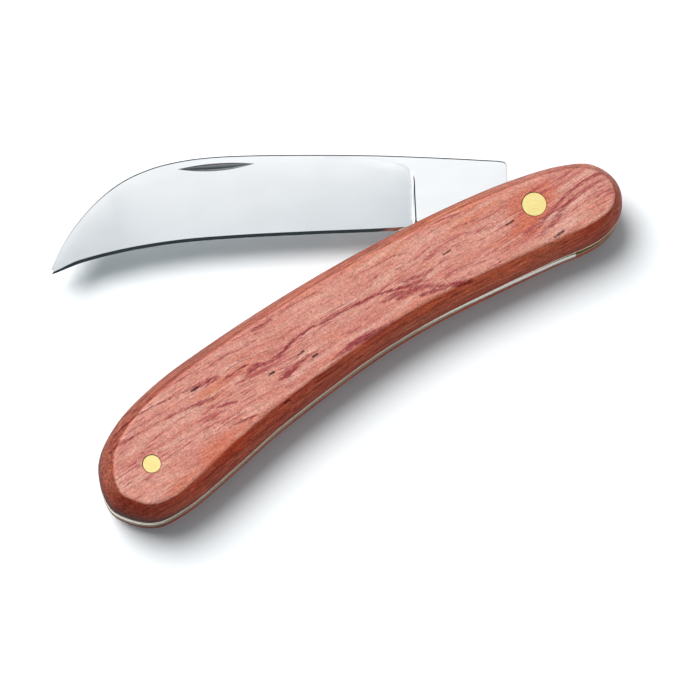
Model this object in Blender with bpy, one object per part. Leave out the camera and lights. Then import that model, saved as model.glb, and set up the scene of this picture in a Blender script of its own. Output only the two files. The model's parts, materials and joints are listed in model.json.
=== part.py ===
"""Folding garden knife with a hooked blade, shown partly open.

The handle is a sandwich: two wooden scales outside two brass liners, and between the
liners the steel blade and its back spring. The brass pivot pin and butt pin go through
all of it. A short spring pin, hidden under the scales, is the point that the spring
bends over.

Frame: +X from the butt pin to the pivot pin, +Y towards the slot that the blade folds
into, +Z out of the front scale. The origin is halfway between the two pins, on the rear
scale's flat face.
"""

import math

import bmesh
import bpy
from mathutils import Matrix, Vector

MM = 0.001

# Layers, from the rear face to the front face
SCALE_THICKNESS = 6.0 * MM
LINER_THICKNESS = 0.4 * MM
BLADE_THICKNESS = 2.0 * MM
LAYER_GAP = 0.05 * MM

REAR_LINER_Z = SCALE_THICKNESS + LAYER_GAP
BLADE_Z = REAR_LINER_Z + LINER_THICKNESS + LAYER_GAP
FRONT_LINER_Z = BLADE_Z + BLADE_THICKNESS + LAYER_GAP
FRONT_SCALE_Z = FRONT_LINER_Z + LINER_THICKNESS + LAYER_GAP
HANDLE_THICKNESS = FRONT_SCALE_Z + SCALE_THICKNESS

# Pins
PIN_PITCH = 78.0 * MM
PIVOT = Vector((PIN_PITCH / 2, 0.0))
BUTT = Vector((-PIN_PITCH / 2, 0.0))
SPRING_PIN = Vector((-1.0, -2.7)) * MM
PIVOT_RADIUS = 2.05 * MM
BUTT_RADIUS = 1.5 * MM
SPRING_PIN_RADIUS = 1.25 * MM
PIN_CLEARANCE = 0.05 * MM
PIN_SIDES = 48

# Shading: a face this close to square on to Z stays flat, and an edge this sharp stays crisp
FLAT_NORMAL = 0.9999
SHARP_ANGLE = math.radians(15.0)

# Outline of the handle at the liners, anticlockwise from the end of the butt, and with
# each point the width of the scale's side there, from the liner in to the flat face
HANDLE_OUTLINE_MM = (
    (-48.4, -0.8, 2.5), (-47.2, -4.0, 2.5), (-43.6, -7.5, 2.0), (-38.0, -8.4, 1.8),
    (-28.0, -7.5, 2.5), (-18.0, -6.15, 2.5), (-7.0, -5.4, 2.2), (4.0, -5.1, 2.2),
    (15.0, -5.7, 2.4), (26.0, -7.2, 2.3), (37.0, -8.9, 2.2), (46.2, -10.4, 2.1),
    (51.0, -9.0, 1.7), (53.4, -6.0, 1.8), (53.8, -2.8, 2.1), (52.0, 1.1, 2.2),
    (47.4, 3.9, 2.1), (39.0, 6.6, 2.2), (27.0, 9.0, 2.4), (12.0, 10.9, 2.5),
    (-3.0, 12.0, 2.5), (-18.0, 12.3, 2.5), (-31.0, 11.75, 2.5), (-40.0, 9.7, 2.6),
    (-46.0, 5.8, 2.7),
)
OUTLINE_STEPS = 5
SIDE_STEPS = 6
SIDE_CURVE = 2.2

# Blade. Its own frame is the handle's frame with the blade folded in and the pivot at
# the origin: the tip points along -X and the spine is on the +Y side.
OPENED_BY = math.radians(25.5)
TANG_RADIUS = 6.3 * MM
TANG_FLAT = 5.9 * MM
SHOULDER_FOOT = Vector((-3.1, 5.9)) * MM
SHOULDER_TOP = Vector((-2.5, 9.1)) * MM
SHOULDER_CORNER = Vector((-2.8, 9.8)) * MM
SPINE_MM = (
    (-3.9, 10.25), (-14.0, 12.45), (-25.5, 14.75), (-37.0, 16.7), (-46.5, 18.1),
    (-52.0, 18.7), (-57.2, 18.85), (-62.5, 18.35), (-68.0, 16.7), (-73.6, 13.3),
    (-78.7, 8.4), (-82.3, 3.2),
)
EDGE_MM = (
    (-82.3, 3.2), (-81.9, 3.0), (-76.7, 4.1), (-69.0, 4.85), (-60.0, 4.9),
    (-50.0, 4.15), (-38.5, 2.9), (-26.0, 1.4), (-17.0, 0.5),
)
BELLY_MM = ((-17.0, 0.5), (-11.0, -1.2), (-7.2, -4.6), (-4.0, -5.9))
BLADE_STEPS = 4

# Ground faces of the blade
TIP_X = SPINE_MM[-1][0] * MM
TAPER_START_X = -50.0 * MM
PLUNGE_X = -19.0 * MM
PLUNGE_WIDTH = 1.0 * MM
PLUNGE_CORNER = 4.0 * MM
GRIND_STATIONS = 36
GROUND_SPINE_THICKNESS = 1.96 * MM
TIP_THICKNESS = 1.1 * MM
EDGE_BEVEL = 0.5 * MM
EDGE_BEVEL_THICKNESS = 0.40 * MM
EDGE_THICKNESS = 0.06 * MM
OUTLINE_OVERCUT = 0.05 * MM
ENVELOPE_MARGIN = 1.0 * MM
ENVELOPE_HALF = BLADE_THICKNESS / 2 + 0.2 * MM

# Nail nick: the trace of a tilted milling disc beside the spine
NICK_BASE = Vector((-51.9, 17.5)) * MM
NICK_DISC_RADIUS = 36.0 * MM
NICK_DISC_SIDES = 96
NICK_DISC_WIDTH = 6.0 * MM
NICK_DEPTH = 0.7 * MM
NICK_TILT = math.radians(25.0)
NICK_LINE_ANGLE = math.radians(-4.6)

# Back spring, drawn flush and then bent out over the tang by SPRING_LIFT at its nose
SPRING_LIFT = 0.4 * MM
NOSE_FOOT_MM = (41.3, -9.6)
SPRING_INSIDE_MM = (
    (41.9, -5.95), (36.0, -5.95), (28.0, -4.6), (16.0, -2.7), (5.0, -0.9), (-1.0, -0.2),
    (-7.0, -0.9), (-18.0, -1.6), (-28.0, -0.6), (-34.0, 1.8), (-38.5, 2.4),
)
SPRING_HEEL_MM = (-46.4, 2.4)


def clear_scene():
    for obj in list(bpy.data.objects):
        bpy.data.objects.remove(obj, do_unlink=True)


def mm_points(points):
    return [Vector(point) * MM for point in points]


def material(name, colour, roughness, metallic):
    shader_material = bpy.data.materials.new(name)
    shader_material.use_nodes = True
    shader = shader_material.node_tree.nodes["Principled BSDF"]
    shader.inputs["Base Color"].default_value = (*colour, 1.0)
    shader.inputs["Roughness"].default_value = roughness
    shader.inputs["Metallic"].default_value = metallic
    return shader_material


def curve_point(a, b, c, d, u):
    """Point at u from b to c on the centripetal Catmull-Rom curve through a, b, c, d."""
    t1 = math.sqrt((b - a).length)
    t2 = t1 + math.sqrt((c - b).length)
    t3 = t2 + math.sqrt((d - c).length)
    t = t1 + u * (t2 - t1)
    ab = a.lerp(b, t / t1)
    bc = b.lerp(c, (t - t1) / (t2 - t1))
    cd = c.lerp(d, (t - t2) / (t3 - t2))
    abc = ab.lerp(bc, t / t2)
    bcd = bc.lerp(cd, (t - t1) / (t3 - t1))
    return abc.lerp(bcd, (t - t1) / (t2 - t1))


def closed_curve(points, steps):
    count = len(points)
    return [
        curve_point(points[i - 1], points[i], points[(i + 1) % count], points[(i + 2) % count], k / steps)
        for i in range(count)
        for k in range(steps)
    ]


def open_curve(points, steps):
    """Curve from the first point to the last, both included."""
    before = points[0] * 2 - points[1]
    after = points[-1] * 2 - points[-2]
    ends = [before, *points, after]
    curve = [
        curve_point(ends[i], ends[i + 1], ends[i + 2], ends[i + 3], k / steps)
        for i in range(len(points) - 1)
        for k in range(steps)
    ]
    return [*curve, points[-1]]


def arc(centre, radius, start, end, steps):
    angles = [start + (end - start) * k / steps for k in range(steps + 1)]
    return [centre + radius * Vector((math.cos(a), math.sin(a))) for a in angles]


def inset(loop, widths):
    """Move each point of an anticlockwise loop inwards, square to the loop."""
    moved = []
    for i, point in enumerate(loop):
        along = (loop[(i + 1) % len(loop)] - loop[i - 1]).normalized()
        moved.append(point + Vector((-along.y, along.x)) * widths[i])
    return moved


def loft(name, rings):
    """Closed solid through rings of 3-D points, from the lowest ring to the highest."""
    bm = bmesh.new()
    levels = [[bm.verts.new(point) for point in ring] for ring in rings]
    count = len(rings[0])
    for low, high in zip(levels, levels[1:]):
        for i in range(count):
            j = (i + 1) % count
            bm.faces.new((low[i], low[j], high[j], high[i]))
    bm.faces.new(list(reversed(levels[0])))
    bm.faces.new(levels[-1])
    return new_object(name, bm)


def plate(name, outline, bottom, top):
    """Flat piece of the outline's shape, from height bottom to height top."""
    return loft(name, [[(*point, z) for point in outline] for z in (bottom, top)])


def new_object(name, bm):
    """Object with flat ends and smooth sides."""
    bmesh.ops.recalc_face_normals(bm, faces=bm.faces)
    for face in bm.faces:
        face.smooth = abs(face.normal.z) < FLAT_NORMAL
    mesh = bpy.data.meshes.new(name)
    bm.to_mesh(mesh)
    bm.free()
    mesh.set_sharp_from_angle(angle=SHARP_ANGLE)
    obj = bpy.data.objects.new(name, mesh)
    bpy.context.collection.objects.link(obj)
    return obj


def rod(name, centre, radius, bottom, top):
    return plate(name, arc(centre, radius, 0.0, math.tau, PIN_SIDES)[:-1], bottom, top)


def cut(obj, cutter, operation="DIFFERENCE"):
    """Shape obj with a cutter, which moves with it."""
    cutter.parent = obj
    cutter.hide_render = True
    cutter.display_type = "WIRE"
    boolean = obj.modifiers.new(cutter.name, "BOOLEAN")
    boolean.operation = operation
    boolean.object = cutter


def drill(obj, label, centre, radius):
    name = f"{obj.name}_{label}_hole"
    cut(obj, rod(name, centre, radius + PIN_CLEARANCE, -HANDLE_THICKNESS, 2.0 * HANDLE_THICKNESS))


def handle_outline():
    return [point.xy for point in closed_curve(mm_points(HANDLE_OUTLINE_MM), OUTLINE_STEPS)]


def scale_ring(height, z):
    """Outline of a scale at a height from 0, at the liner, to 1, at the flat face."""
    curve = closed_curve(mm_points(HANDLE_OUTLINE_MM), OUTLINE_STEPS)
    lean = height**SIDE_CURVE
    ring = inset([point.xy for point in curve], [point.z * lean for point in curve])
    return [(*point, z) for point in ring]


def make_scale(name, liner_z, face_z, wood):
    """Wooden side of the handle, between its liner and its flat outer face."""
    heights = [step / SIDE_STEPS for step in range(SIDE_STEPS + 1)]
    scale = loft(name, [scale_ring(h, liner_z + (face_z - liner_z) * h) for h in heights])
    drill(scale, "pivot", PIVOT, PIVOT_RADIUS)
    drill(scale, "butt", BUTT, BUTT_RADIUS)
    scale.data.materials.append(wood)


def make_liner(name, z, brass):
    liner = plate(name, handle_outline(), z, z + LINER_THICKNESS)
    drill(liner, "pivot", PIVOT, PIVOT_RADIUS)
    drill(liner, "butt", BUTT, BUTT_RADIUS)
    drill(liner, "spring", SPRING_PIN, SPRING_PIN_RADIUS)
    liner.data.materials.append(brass)


def make_pin(name, centre, radius, bottom, top, metal):
    """Pin with its origin on its own axis."""
    pin = rod(name, Vector((0.0, 0.0)), radius, 0.0, top - bottom)
    pin.location = (*centre, bottom)
    pin.data.materials.append(metal)


def smoothstep(t):
    """Ease from 0 to 1."""
    t = min(max(t, 0.0), 1.0)
    return t * t * (3.0 - 2.0 * t)


def bent(point):
    """The front arm of the spring bends outwards, from the spring pin to the nose."""
    arm = (point.x - SPRING_PIN.x) / (PIVOT.x - SPRING_PIN.x)
    return point - Vector((0.0, SPRING_LIFT * smoothstep(arm) * max(arm, 0.0)))


def spring_outline():
    """Anticlockwise: round the butt, along the handle's back to the nose, and back inside."""
    nose_foot = Vector(NOSE_FOOT_MM) * MM
    heel = Vector(SPRING_HEEL_MM) * MM
    back = [p for p in handle_outline() if heel.x < p.x < nose_foot.x and p.y < 0.0]
    back = sorted(back, key=lambda point: point.x)
    inside = open_curve(mm_points(SPRING_INSIDE_MM), 4)
    butt_end = [p for p in handle_outline() if p.x <= heel.x and p.y < heel.y]
    butt_end = sorted(butt_end, key=lambda point: -point.y)
    return [bent(p) for p in (*butt_end, *back, nose_foot, *inside, heel)]


def make_spring(steel):
    spring = plate("back_spring", spring_outline(), BLADE_Z, BLADE_Z + BLADE_THICKNESS)
    drill(spring, "butt", BUTT, BUTT_RADIUS)
    drill(spring, "spring", SPRING_PIN, SPRING_PIN_RADIUS)
    spring.data.materials.append(steel)


def blade_outline():
    """Anticlockwise: tang, shoulder, spine to the tip, cutting edge, belly in the handle."""
    flat_half = math.sqrt(TANG_RADIUS**2 - TANG_FLAT**2)
    turn = math.atan2(TANG_FLAT, flat_half)
    tang = arc(Vector((0.0, 0.0)), TANG_RADIUS, -turn, turn, 24)
    shoulder = [SHOULDER_FOOT, *open_curve([SHOULDER_TOP, SHOULDER_CORNER, Vector(SPINE_MM[0]) * MM], 3)]
    spine = open_curve(mm_points(SPINE_MM), BLADE_STEPS)
    edge = open_curve(mm_points(EDGE_MM), BLADE_STEPS)
    belly = open_curve(mm_points(BELLY_MM), BLADE_STEPS)
    return [*tang, *shoulder, *spine[1:], *edge[1:], *belly[1:]]


def at_x(curve, x):
    """Height of a curve that runs along X, at x."""
    for a, b in zip(curve, curve[1:]):
        if min(a.x, b.x) <= x <= max(a.x, b.x) and a.x != b.x:
            return a.y + (b.y - a.y) * (x - a.x) / (b.x - a.x)
    return min(curve, key=lambda point: abs(point.x - x)).y


def grind_line(spine, x):
    """Upper limit of the ground face: just past the spine, rounded down at the plunge."""
    run = min(max((PLUNGE_X - x) / PLUNGE_CORNER, 0.0), 1.0)
    drop = PLUNGE_CORNER * (1.0 - math.sqrt(1.0 - (1.0 - run) ** 2))
    return at_x(spine, x) - drop + OUTLINE_OVERCUT


def grind_section(spine, edge, x):
    """Front half of the ground blade's section, from beyond the spine to beyond the edge."""
    top = grind_line(spine, x)
    bottom = at_x(edge, x)
    to_tip = smoothstep((x - TAPER_START_X) / (TIP_X - TAPER_START_X))
    top_half = (GROUND_SPINE_THICKNESS + (TIP_THICKNESS - GROUND_SPINE_THICKNESS) * to_tip) / 2
    bevel = min(EDGE_BEVEL, (top - bottom) / 3)
    return [
        (at_x(spine, x) + ENVELOPE_MARGIN, ENVELOPE_HALF),
        (top, top_half),
        (bottom + bevel, EDGE_BEVEL_THICKNESS / 2),
        (bottom - OUTLINE_OVERCUT, EDGE_THICKNESS / 2),
        (bottom - ENVELOPE_MARGIN, EDGE_THICKNESS / 2),
    ]


def both_sides(section, x):
    front = [(x, y, z) for y, z in section]
    rear = [(x, y, -z) for y, z in reversed(section)]
    return [*front, *rear]


def grind_envelope():
    """Solid that the blade blank is ground down to: full thickness up to the plunge line."""
    spine = open_curve(mm_points(SPINE_MM), BLADE_STEPS)
    edge = open_curve(mm_points(EDGE_MM), BLADE_STEPS)
    stations = [PLUNGE_X + (TIP_X - PLUNGE_X) * k / GRIND_STATIONS for k in range(GRIND_STATIONS + 1)]
    sections = [grind_section(spine, edge, x) for x in stations]
    plunge = [(y, ENVELOPE_HALF) for y, _ in sections[0]]
    low = -TANG_RADIUS - ENVELOPE_MARGIN
    tang = [(y if i == 0 else min(y, low), z) for i, (y, z) in enumerate(plunge)]
    return loft(
        "grind_envelope",
        [
            both_sides(sections[-1], TIP_X - ENVELOPE_MARGIN),
            *[both_sides(section, x) for section, x in zip(reversed(sections), reversed(stations))],
            both_sides(plunge, PLUNGE_X + PLUNGE_WIDTH),
            both_sides(tang, PLUNGE_X + 2.0 * PLUNGE_WIDTH),
            both_sides(tang, TANG_RADIUS + ENVELOPE_MARGIN),
        ],
    )


def nail_nick_cutter():
    """Milling disc on edge, leaning away from the spine, NICK_DEPTH into the front face."""
    disc = rod("nail_nick", Vector((0.0, 0.0)), NICK_DISC_RADIUS, -NICK_DISC_WIDTH, 0.0)
    base = Matrix.Translation((*NICK_BASE, BLADE_THICKNESS / 2))
    line = Matrix.Rotation(NICK_LINE_ANGLE, 4, "Z")
    lean = Matrix.Rotation(-math.pi / 2 - NICK_TILT, 4, "X")
    lift = Matrix.Translation((0.0, NICK_DEPTH - NICK_DISC_RADIUS, 0.0))
    disc.matrix_world = base @ line @ lean @ lift
    return disc


def make_blade(steel):
    half = BLADE_THICKNESS / 2
    blade = plate("blade", blade_outline(), -half, half)
    drill(blade, "pivot", Vector((0.0, 0.0)), PIVOT_RADIUS)
    cut(blade, grind_envelope(), "INTERSECT")
    cut(blade, nail_nick_cutter())
    blade.location = (*PIVOT, BLADE_Z + half)
    blade.rotation_euler = (0.0, 0.0, -OPENED_BY)
    blade.data.materials.append(steel)


def main():
    clear_scene()
    wood = material("bubinga_wood", (0.42, 0.16, 0.11), 0.45, 0.0)
    brass = material("brass", (0.80, 0.62, 0.25), 0.35, 1.0)
    steel = material("polished_steel", (0.72, 0.74, 0.76), 0.18, 1.0)
    spring_steel = material("spring_steel", (0.60, 0.61, 0.62), 0.30, 1.0)
    make_scale("rear_scale", SCALE_THICKNESS, 0.0, wood)
    make_scale("front_scale", FRONT_SCALE_Z, HANDLE_THICKNESS, wood)
    make_liner("rear_liner", REAR_LINER_Z, brass)
    make_liner("front_liner", FRONT_LINER_Z, brass)
    make_spring(spring_steel)
    make_blade(steel)
    make_pin("pivot_pin", PIVOT, PIVOT_RADIUS, 0.0, HANDLE_THICKNESS, brass)
    make_pin("butt_pin", BUTT, BUTT_RADIUS, 0.0, HANDLE_THICKNESS, brass)
    liner_top = FRONT_LINER_Z + LINER_THICKNESS
    make_pin("spring_pin", SPRING_PIN, SPRING_PIN_RADIUS, REAR_LINER_Z, liner_top, brass)


main()
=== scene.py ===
"""Looks of the folding garden knife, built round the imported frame.

Lengths are in millimetres until a mesh is made. The frame and the scene are in metres.
"""

import json
import math

import bmesh
import bpy
from mathutils import Matrix, Vector, kdtree
from mathutils.geometry import delaunay_2d_cdt, intersect_point_line


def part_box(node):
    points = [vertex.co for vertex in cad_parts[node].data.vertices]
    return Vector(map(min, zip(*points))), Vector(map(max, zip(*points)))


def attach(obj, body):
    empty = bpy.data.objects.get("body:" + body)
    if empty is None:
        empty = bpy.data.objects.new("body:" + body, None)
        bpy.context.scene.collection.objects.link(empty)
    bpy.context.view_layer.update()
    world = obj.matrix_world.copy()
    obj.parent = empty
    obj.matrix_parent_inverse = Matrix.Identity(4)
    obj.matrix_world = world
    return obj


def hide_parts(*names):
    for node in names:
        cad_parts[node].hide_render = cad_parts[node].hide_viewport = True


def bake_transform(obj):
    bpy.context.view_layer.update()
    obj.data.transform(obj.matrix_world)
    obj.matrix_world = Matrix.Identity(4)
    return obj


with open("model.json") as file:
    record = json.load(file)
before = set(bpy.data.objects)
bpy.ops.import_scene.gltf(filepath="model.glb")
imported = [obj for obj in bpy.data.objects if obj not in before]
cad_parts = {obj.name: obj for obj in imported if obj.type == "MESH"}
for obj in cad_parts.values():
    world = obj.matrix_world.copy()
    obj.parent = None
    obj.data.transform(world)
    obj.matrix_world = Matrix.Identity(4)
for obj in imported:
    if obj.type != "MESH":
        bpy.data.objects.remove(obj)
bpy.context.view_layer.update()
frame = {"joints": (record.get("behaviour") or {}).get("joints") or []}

MM = 0.001


def layer(node):
    """Rear and front height of a CAD node."""
    low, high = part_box(node)
    return low[2] / MM, high[2] / MM


def pin_place(node):
    """Centre and radius of a CAD pin."""
    low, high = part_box(node)
    centre = Vector((low[0] + high[0], low[1] + high[1])) / 2 / MM
    return centre, (high[0] - low[0]) / 2 / MM


PIVOT, PIVOT_RADIUS = pin_place("pivot_pin")
BUTT, BUTT_RADIUS = pin_place("butt_pin")
SPRING_PIN, SPRING_PIN_RADIUS = pin_place("spring_pin")
OPENED_BY = math.radians(
    next(j["range_deg"][1] for j in frame["joints"] if j["name"] == "blade_pivot")
)
# Gap between a pin and its bore
CLEARANCE = 0.05
# Keeps the smooth outline inside the frame's faceted one
FRAME_EASE = 0.015

# Handle outline at the liners, with the width of the scale's side at each point
HANDLE_OUTLINE = (
    (-48.4, -0.8, 2.5), (-47.2, -4.0, 2.5), (-43.6, -7.5, 2.0), (-38.0, -8.4, 1.8),
    (-28.0, -7.5, 2.5), (-18.0, -6.15, 2.5), (-7.0, -5.4, 2.2), (4.0, -5.1, 2.2),
    (15.0, -5.7, 2.4), (26.0, -7.2, 2.3), (37.0, -8.9, 2.2), (46.2, -10.4, 2.1),
    (51.0, -9.0, 1.7), (53.4, -6.0, 1.8), (53.8, -2.8, 2.1), (52.0, 1.1, 2.2),
    (47.4, 3.9, 2.1), (39.0, 6.6, 2.2), (27.0, 9.0, 2.4), (12.0, 10.9, 2.5),
    (-3.0, 12.0, 2.5), (-18.0, 12.3, 2.5), (-31.0, 11.75, 2.5), (-40.0, 9.7, 2.6),
    (-46.0, 5.8, 2.7),
)
# Powers of the sides' curves: a fuller side leans in later
FRONT_FULLNESS = 2.2
REAR_FULLNESS = 3.3
# Share of the height at which a side's curve turns over into the flat face
SIDE_TURN = 0.94
SIDE_STEPS = 14

# Blade, folded in, with the pivot at the origin
TANG_RADIUS = 6.3
TANG_FLAT = 5.9
SHOULDER = ((-3.1, 5.9), (-2.5, 9.1), (-2.8, 9.8))
SPINE = (
    (-3.9, 10.25), (-14.0, 12.45), (-25.5, 14.75), (-37.0, 16.7), (-46.5, 18.1),
    (-52.0, 18.7), (-57.2, 18.85), (-62.5, 18.35), (-68.0, 16.7), (-73.6, 13.3),
    (-78.7, 8.4), (-82.3, 3.2),
)
EDGE = (
    (-82.3, 3.2), (-81.9, 3.0), (-76.7, 4.1), (-69.0, 4.85), (-60.0, 4.9),
    (-50.0, 4.15), (-38.5, 2.9), (-26.0, 1.4), (-17.0, 0.5),
)
BELLY = ((-17.0, 0.5), (-11.0, -1.2), (-7.2, -4.5), (-3.4, -5.88))

# Back spring, flush, and how far its nose is lifted
SPRING_LIFT = 0.4
NOSE_FOOT = (41.2, -9.6)
SPRING_INSIDE = (
    (41.8, -5.96), (34.4, -5.97), (28.0, -4.7), (16.0, -2.7), (5.0, -0.9), (-1.0, -0.2),
    (-7.0, -0.9), (-18.0, -1.6), (-28.0, -0.6), (-34.0, 1.8), (-38.5, 2.4),
)
SPRING_HEEL = (-46.4, 2.4)
# Its rounded edge: how far in, and how far up from the rim
SPRING_ROUND = ((0.32, 0.0), (0.15, 0.14), (0.04, 0.38), (0.0, 0.7))


# ---------------------------------------------------------------- curves


def vectors(points):
    return [Vector(point) for point in points]


def curve_point(a, b, c, d, u):
    """Point at u from b to c on the centripetal Catmull-Rom curve through a, b, c, d."""
    t1 = math.sqrt((b - a).length)
    t2 = t1 + math.sqrt((c - b).length)
    t3 = t2 + math.sqrt((d - c).length)
    t = t1 + u * (t2 - t1)
    ab = a.lerp(b, t / t1)
    bc = b.lerp(c, (t - t1) / (t2 - t1))
    cd = c.lerp(d, (t - t2) / (t3 - t2))
    return ab.lerp(bc, t / t2).lerp(bc.lerp(cd, (t - t1) / (t3 - t1)), (t - t1) / (t2 - t1))


def closed_curve(points, steps):
    count = len(points)
    return [
        curve_point(*(points[(i + near) % count] for near in (-1, 0, 1, 2)), k / steps)
        for i in range(count)
        for k in range(steps)
    ]


def open_curve(points, steps):
    ends = [points[0] * 2 - points[1], *points, points[-1] * 2 - points[-2]]
    curve = [
        curve_point(*ends[i : i + 4], k / steps)
        for i in range(len(points) - 1)
        for k in range(steps)
    ]
    return [*curve, points[-1]]


def arc(centre, radius, start, end, steps):
    angles = [start + (end - start) * k / steps for k in range(steps + 1)]
    return [centre + radius * Vector((math.cos(a), math.sin(a))) for a in angles]


def circle(centre, radius, sides=96):
    return arc(centre, radius, 0.0, math.tau, sides)[:-1]


def inset(loop, widths):
    """Move each point of an anticlockwise loop inwards, square to the loop."""
    moved = []
    for i, point in enumerate(loop):
        along = (loop[(i + 1) % len(loop)] - loop[i - 1]).normalized()
        moved.append(point + Vector((-along.y, along.x)) * widths[i])
    return moved


def at_x(curve, x):
    """Height of a curve that runs along X, at x."""
    for a, b in zip(curve, curve[1:]):
        if min(a.x, b.x) <= x <= max(a.x, b.x) and a.x != b.x:
            return a.y + (b.y - a.y) * (x - a.x) / (b.x - a.x)
    return min(curve, key=lambda point: abs(point.x - x)).y


def smoothstep(t):
    t = min(max(t, 0.0), 1.0)
    return t * t * (3.0 - 2.0 * t)


# ---------------------------------------------------------------- meshes


def add_ring(bm, loop, z):
    return [bm.verts.new((point.x, point.y, z)) for point in loop]


def bridge(bm, low, high):
    for i in range(len(low)):
        j = (i + 1) % len(low)
        bm.faces.new((low[i], low[j], high[j], high[i])).smooth = True


def cap(bm, rings):
    """Flat face inside the first ring, with the other rings as its holes."""
    edges = [bm.edges.get((ring[i - 1], ring[i])) for ring in rings for i in range(len(ring))]
    filled = bmesh.ops.triangle_fill(bm, use_beauty=True, edges=edges)
    for item in filled["geom"]:
        if isinstance(item, bmesh.types.BMFace):
            item.smooth = False


def mesh_piece(name, bm, sharp_degrees=35.0):
    bmesh.ops.recalc_face_normals(bm, faces=bm.faces)
    mesh = bpy.data.meshes.new(name)
    bm.to_mesh(mesh)
    bm.free()
    mesh.transform(Matrix.Scale(MM, 4))
    mesh.set_sharp_from_angle(angle=math.radians(sharp_degrees))
    piece = bpy.data.objects.new(name, mesh)
    bpy.context.collection.objects.link(piece)
    return piece


def drilled_stack(name, rings, holes):
    """Solid through (loop, z) rings, with holes given as stacks of (loop, z) rings."""
    bm = bmesh.new()
    stacks = []
    for stack in (rings, *holes):
        made = [add_ring(bm, loop, z) for loop, z in stack]
        for low, high in zip(made, made[1:]):
            bridge(bm, low, high)
        stacks.append(made)
    cap(bm, [stack[0] for stack in stacks])
    cap(bm, [stack[-1] for stack in stacks])
    return mesh_piece(name, bm)


def register(piece, body, node, material):
    piece.data.materials.append(material)
    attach(piece, body)
    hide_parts(node)


def handle_curve():
    return closed_curve(vectors(HANDLE_OUTLINE), 12)


def handle_outline():
    outline = [point.xy for point in handle_curve()]
    return inset(outline, [FRAME_EASE] * len(outline))


def softened(loop, amount, passes=32):
    """Loop with its tight corners rounded over, by an amount from 0 to 1."""
    soft = loop
    for _ in range(passes):
        soft = [(soft[i - 1] + soft[i] * 2 + soft[(i + 1) % len(soft)]) / 4 for i in range(len(soft))]
    return [point.lerp(moved, amount) for point, moved in zip(loop, soft)]


def scale_rings(z_liner, z_face, fullness):
    """Side of a scale from the liner to its flat face, with the corner there eased over."""
    curve = handle_curve()
    outline = handle_outline()
    heights = [SIDE_TURN * k / SIDE_STEPS for k in range(SIDE_STEPS + 1)]
    profile = [(height**fullness, 0.0, height) for height in heights]
    for u in (0.25, 0.5, 0.75, 1.0):
        rest = (1.0 - u) ** 2
        share = rest * SIDE_TURN**fullness + 1.0 - rest
        profile.append((share, 0.3 * u * u, rest * SIDE_TURN + 1.0 - rest))
    profile.append((1.0, 0.5, 1.0))
    rings = []
    for share, extra, height in profile:
        loop = inset(outline, [point.z * share + extra for point in curve])
        loop = softened(loop, share)
        rings.append((loop, z_liner + (z_face - z_liner) * height))
    return rings


def pin_hole(centre, radius, z_liner, z_face):
    """Hole of a pin through a scale, with its mouth eased by sanding."""
    inwards = 0.1 if z_face < z_liner else -0.1
    bore = circle(centre, radius + CLEARANCE)
    mouth = circle(centre, radius + CLEARANCE + 0.07)
    return [(bore, z_liner), (bore, z_face + inwards), (mouth, z_face)]


def make_scale(node, z_liner, z_face, fullness):
    holes = [
        pin_hole(PIVOT, PIVOT_RADIUS, z_liner, z_face),
        pin_hole(BUTT, BUTT_RADIUS, z_liner, z_face),
    ]
    return drilled_stack(f"{node}_wood", scale_rings(z_liner, z_face, fullness), holes)


def make_plate(name, outline, z, holes, ease):
    """Flat piece between two heights with slightly eased rims, and round holes."""
    low, high = z
    eased = inset(outline, [ease] * len(outline))
    rings = [(eased, low), (outline, low + ease), (outline, high - ease), (eased, high)]
    bores = [[(circle(c, r + CLEARANCE), z) for z in (low, high)] for c, r in holes]
    return drilled_stack(name, rings, bores)


def make_spring():
    """Leaf between the liners whose edges are rounded over by polishing."""
    low, high = layer("back_spring")
    outline = spring_outline()
    rings = [(inset(outline, [side] * len(outline)), low + up) for side, up in SPRING_ROUND]
    rings += [(loop, low + high - z) for loop, z in reversed(rings)]
    pins = [(BUTT, BUTT_RADIUS), (SPRING_PIN, SPRING_PIN_RADIUS)]
    bores = [[(circle(c, r + CLEARANCE), z) for z in (low, high)] for c, r in pins]
    return drilled_stack("back_spring_steel", rings, bores)


def make_pin(name, node):
    centre, radius = pin_place(node)
    low, high = layer(node)
    ease = 0.05
    profile = [(radius - ease, low), (radius, low + ease)]
    profile += [(radius, high - ease), (radius - ease, high)]
    return drilled_stack(name, [(circle(centre, r), z) for r, z in profile], [])


def bent(point):
    """The front arm of the spring bends outwards, from the spring pin to the nose."""
    arm = (point.x - SPRING_PIN.x) / (PIVOT.x - SPRING_PIN.x)
    return point - Vector((0.0, SPRING_LIFT * smoothstep(arm) * max(arm, 0.0)))


def spring_outline():
    nose_foot = Vector(NOSE_FOOT)
    heel = Vector(SPRING_HEEL)
    outline = handle_outline()
    butt_end = [p for p in outline if p.x <= heel.x and p.y < heel.y]
    butt_end.sort(key=lambda p: -p.y)
    back = [p for p in outline if heel.x < p.x < nose_foot.x and p.y < 0.0]
    back.sort(key=lambda p: p.x)
    inside = open_curve(vectors(SPRING_INSIDE), 10)
    corner = [nose_foot, nose_foot + Vector((0.06, 0.1))]
    return [bent(point) for point in (*butt_end, *back, *corner, *inside, heel)]


# ---------------------------------------------------------------- blade


BLADE_MIDDLE = sum(layer("blade")) / 2
BLADE_HALF = 1.0
BELLY_START = -17.0
# Bevel along the cutting edge: its width, and half its thickness at its inner border and at the edge
EDGE_BEVEL = 0.55
EDGE_HALF = 0.24
SHARP_HALF = 0.03
# Chamfer round the rest of the rim: its width and depth
CHAMFER_WIDTH = 0.21
CHAMFER_DEPTH = 0.09
# The ground face thins from the spine: half-thickness gained per millimetre of width, and its most
SPINE_TAPER = 0.072
SPINE_HALF_MOST = 0.985
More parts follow.
